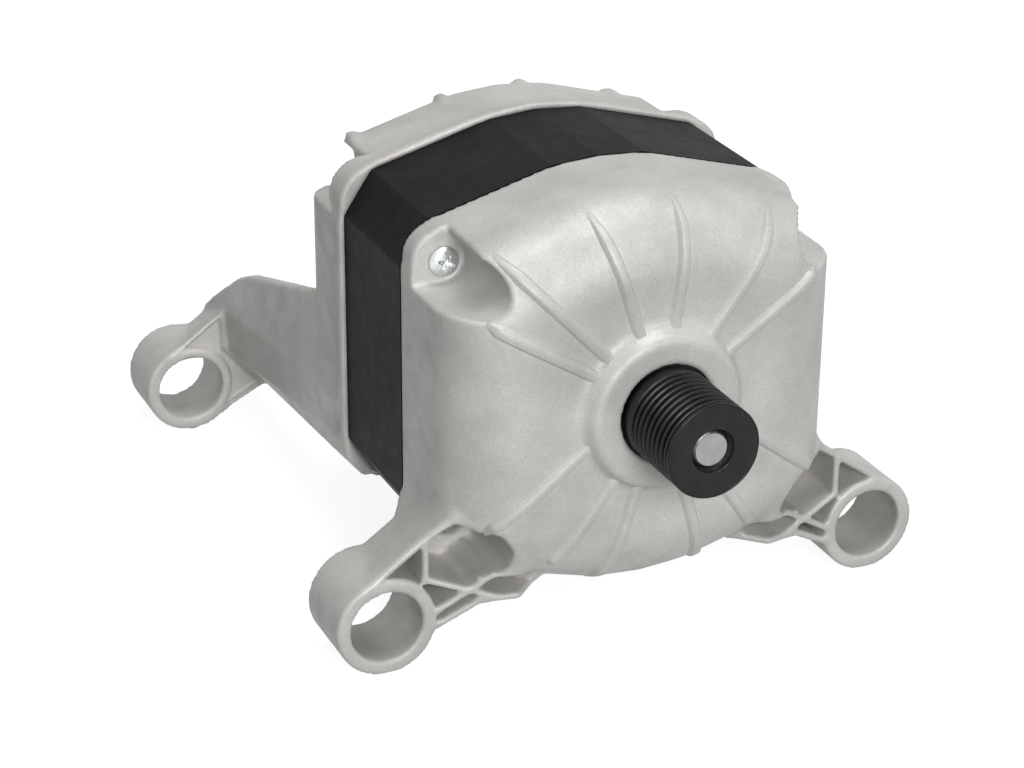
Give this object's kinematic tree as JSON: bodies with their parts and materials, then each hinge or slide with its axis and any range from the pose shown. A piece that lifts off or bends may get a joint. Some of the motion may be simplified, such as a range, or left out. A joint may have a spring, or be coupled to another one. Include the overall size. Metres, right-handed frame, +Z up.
{
  "type": "washing machine motor",
  "caption": "Universal motor with a domed ribbed front shield, ribbed belt pulley, stator stack, rear brush gear and mounting eyes on legs and arms.",
  "frame": {"origin": "on the shaft axis, at the middle of the pulley's belt track", "axes": "+Y along the shaft from the pulley to the rear, +Z up, +X right as seen from the pulley"},
  "size_m": [0.1716, 0.22, 0.1252],
  "materials": {
    "cast_aluminium": "shot-blasted die casting, satin",
    "black_lamination": "black varnished laminations",
    "copper_wire": "enamelled copper, varnished",
    "copper_bar": "turned copper",
    "bright_steel": "ground",
    "rotor_steel": "stamped laminations",
    "zinc_plate": "bright zinc plating",
    "black_pulley": "black oxide, semi-gloss",
    "brass": "bare",
    "black_plastic": "moulded glass-filled plastic",
    "ivory_plastic": "moulded polyamide",
    "brown_resin": "moulded phenolic resin",
    "carbon": "pressed carbon",
    "ferrite": "sintered ferrite",
    "seal_rubber": "moulded nitrile rubber"
  },
  "bodies": {
    "stator": {"front_shield": "cast_aluminium", "front_leg_left": "cast_aluminium", "front_leg_right": "cast_aluminium", "rear_shield": "cast_aluminium", "rear_arm_left": "cast_aluminium", "rear_arm_right": "cast_aluminium", "rear_bearing_bridge": "cast_aluminium", "stator_core": "black_lamination", "field_coil_left": "copper_wire", "field_coil_right": "copper_wire", "pole_insulator_left": "ivory_plastic", "pole_insulator_right": "ivory_plastic", "thermal_protector": "black_plastic", "front_bearing_outer_race": "bright_steel", "front_bearing_seals": "seal_rubber", "wave_washer": "bright_steel", "rear_bearing_outer_race": "bright_steel", "rear_bearing_seals": "seal_rubber", "stator_screws": "zinc_plate", "brush_holder_left": "black_plastic", "brush_holder_right": "black_plastic", "brush_guide_left": "brass", "brush_guide_right": "brass", "brush_spring_left": "bright_steel", "brush_spring_right": "bright_steel", "brush_holder_screws": "zinc_plate", "tacho_coil": "copper_wire", "tacho_cover": "black_plastic", "tacho_cover_screws": "zinc_plate", "connector_housing": "ivory_plastic", "connector_pins": "brass", "earth_tab": "zinc_plate", "earth_screw": "brass"},
    "rotor": {"rotor_shaft": "bright_steel", "rotor_core": "rotor_steel", "rotor_end_insulators": "ivory_plastic", "rotor_winding": "copper_wire", "commutator_hub": "brown_resin", "commutator_bars": "copper_bar", "pulley": "black_pulley", "front_bearing_inner_race": "bright_steel", "rear_bearing_inner_race": "bright_steel", "tacho_magnet": "ferrite"},
    "front_ball_set": {"front_bearing_balls": "bright_steel", "front_bearing_cage": "brass"},
    "rear_ball_set": {"rear_bearing_balls": "bright_steel", "rear_bearing_cage": "brass"},
    "brush_left": {"carbon_brush_left": "carbon"},
    "brush_right": {"carbon_brush_right": "carbon"}
  },
  "joints": [
    {"name": "rotor_spin", "type": "hinge", "parent": "stator", "child": "rotor", "pos_m": [0, 0, 0], "axis": [0, 1, 0], "continuous": true},
    {"name": "front_balls_spin", "type": "hinge", "parent": "stator", "child": "front_ball_set", "pos_m": [0, 0.0225, 0], "axis": [0, 1, 0], "continuous": true},
    {"name": "rear_balls_spin", "type": "hinge", "parent": "stator", "child": "rear_ball_set", "pos_m": [0, 0.158, 0], "axis": [0, 1, 0], "continuous": true},
    {"name": "brush_left_slide", "type": "slide", "parent": "stator", "child": "brush_left", "axis": [-1, 0, 0], "range_m": [0, 0.003], "stiffness_N_per_m": 400, "springref_m": -0.01, "deforming": ["brush_spring_left"]},
    {"name": "brush_right_slide", "type": "slide", "parent": "stator", "child": "brush_right", "axis": [1, 0, 0], "range_m": [0, 0.003], "stiffness_N_per_m": 400, "springref_m": -0.01, "deforming": ["brush_spring_right"]}
  ],
  "couplings": [
    {"joint": "front_balls_spin", "follows": "rotor_spin", "ratio": 0.381},
    {"joint": "rear_balls_spin", "follows": "rotor_spin", "ratio": 0.3648}
  ]
}
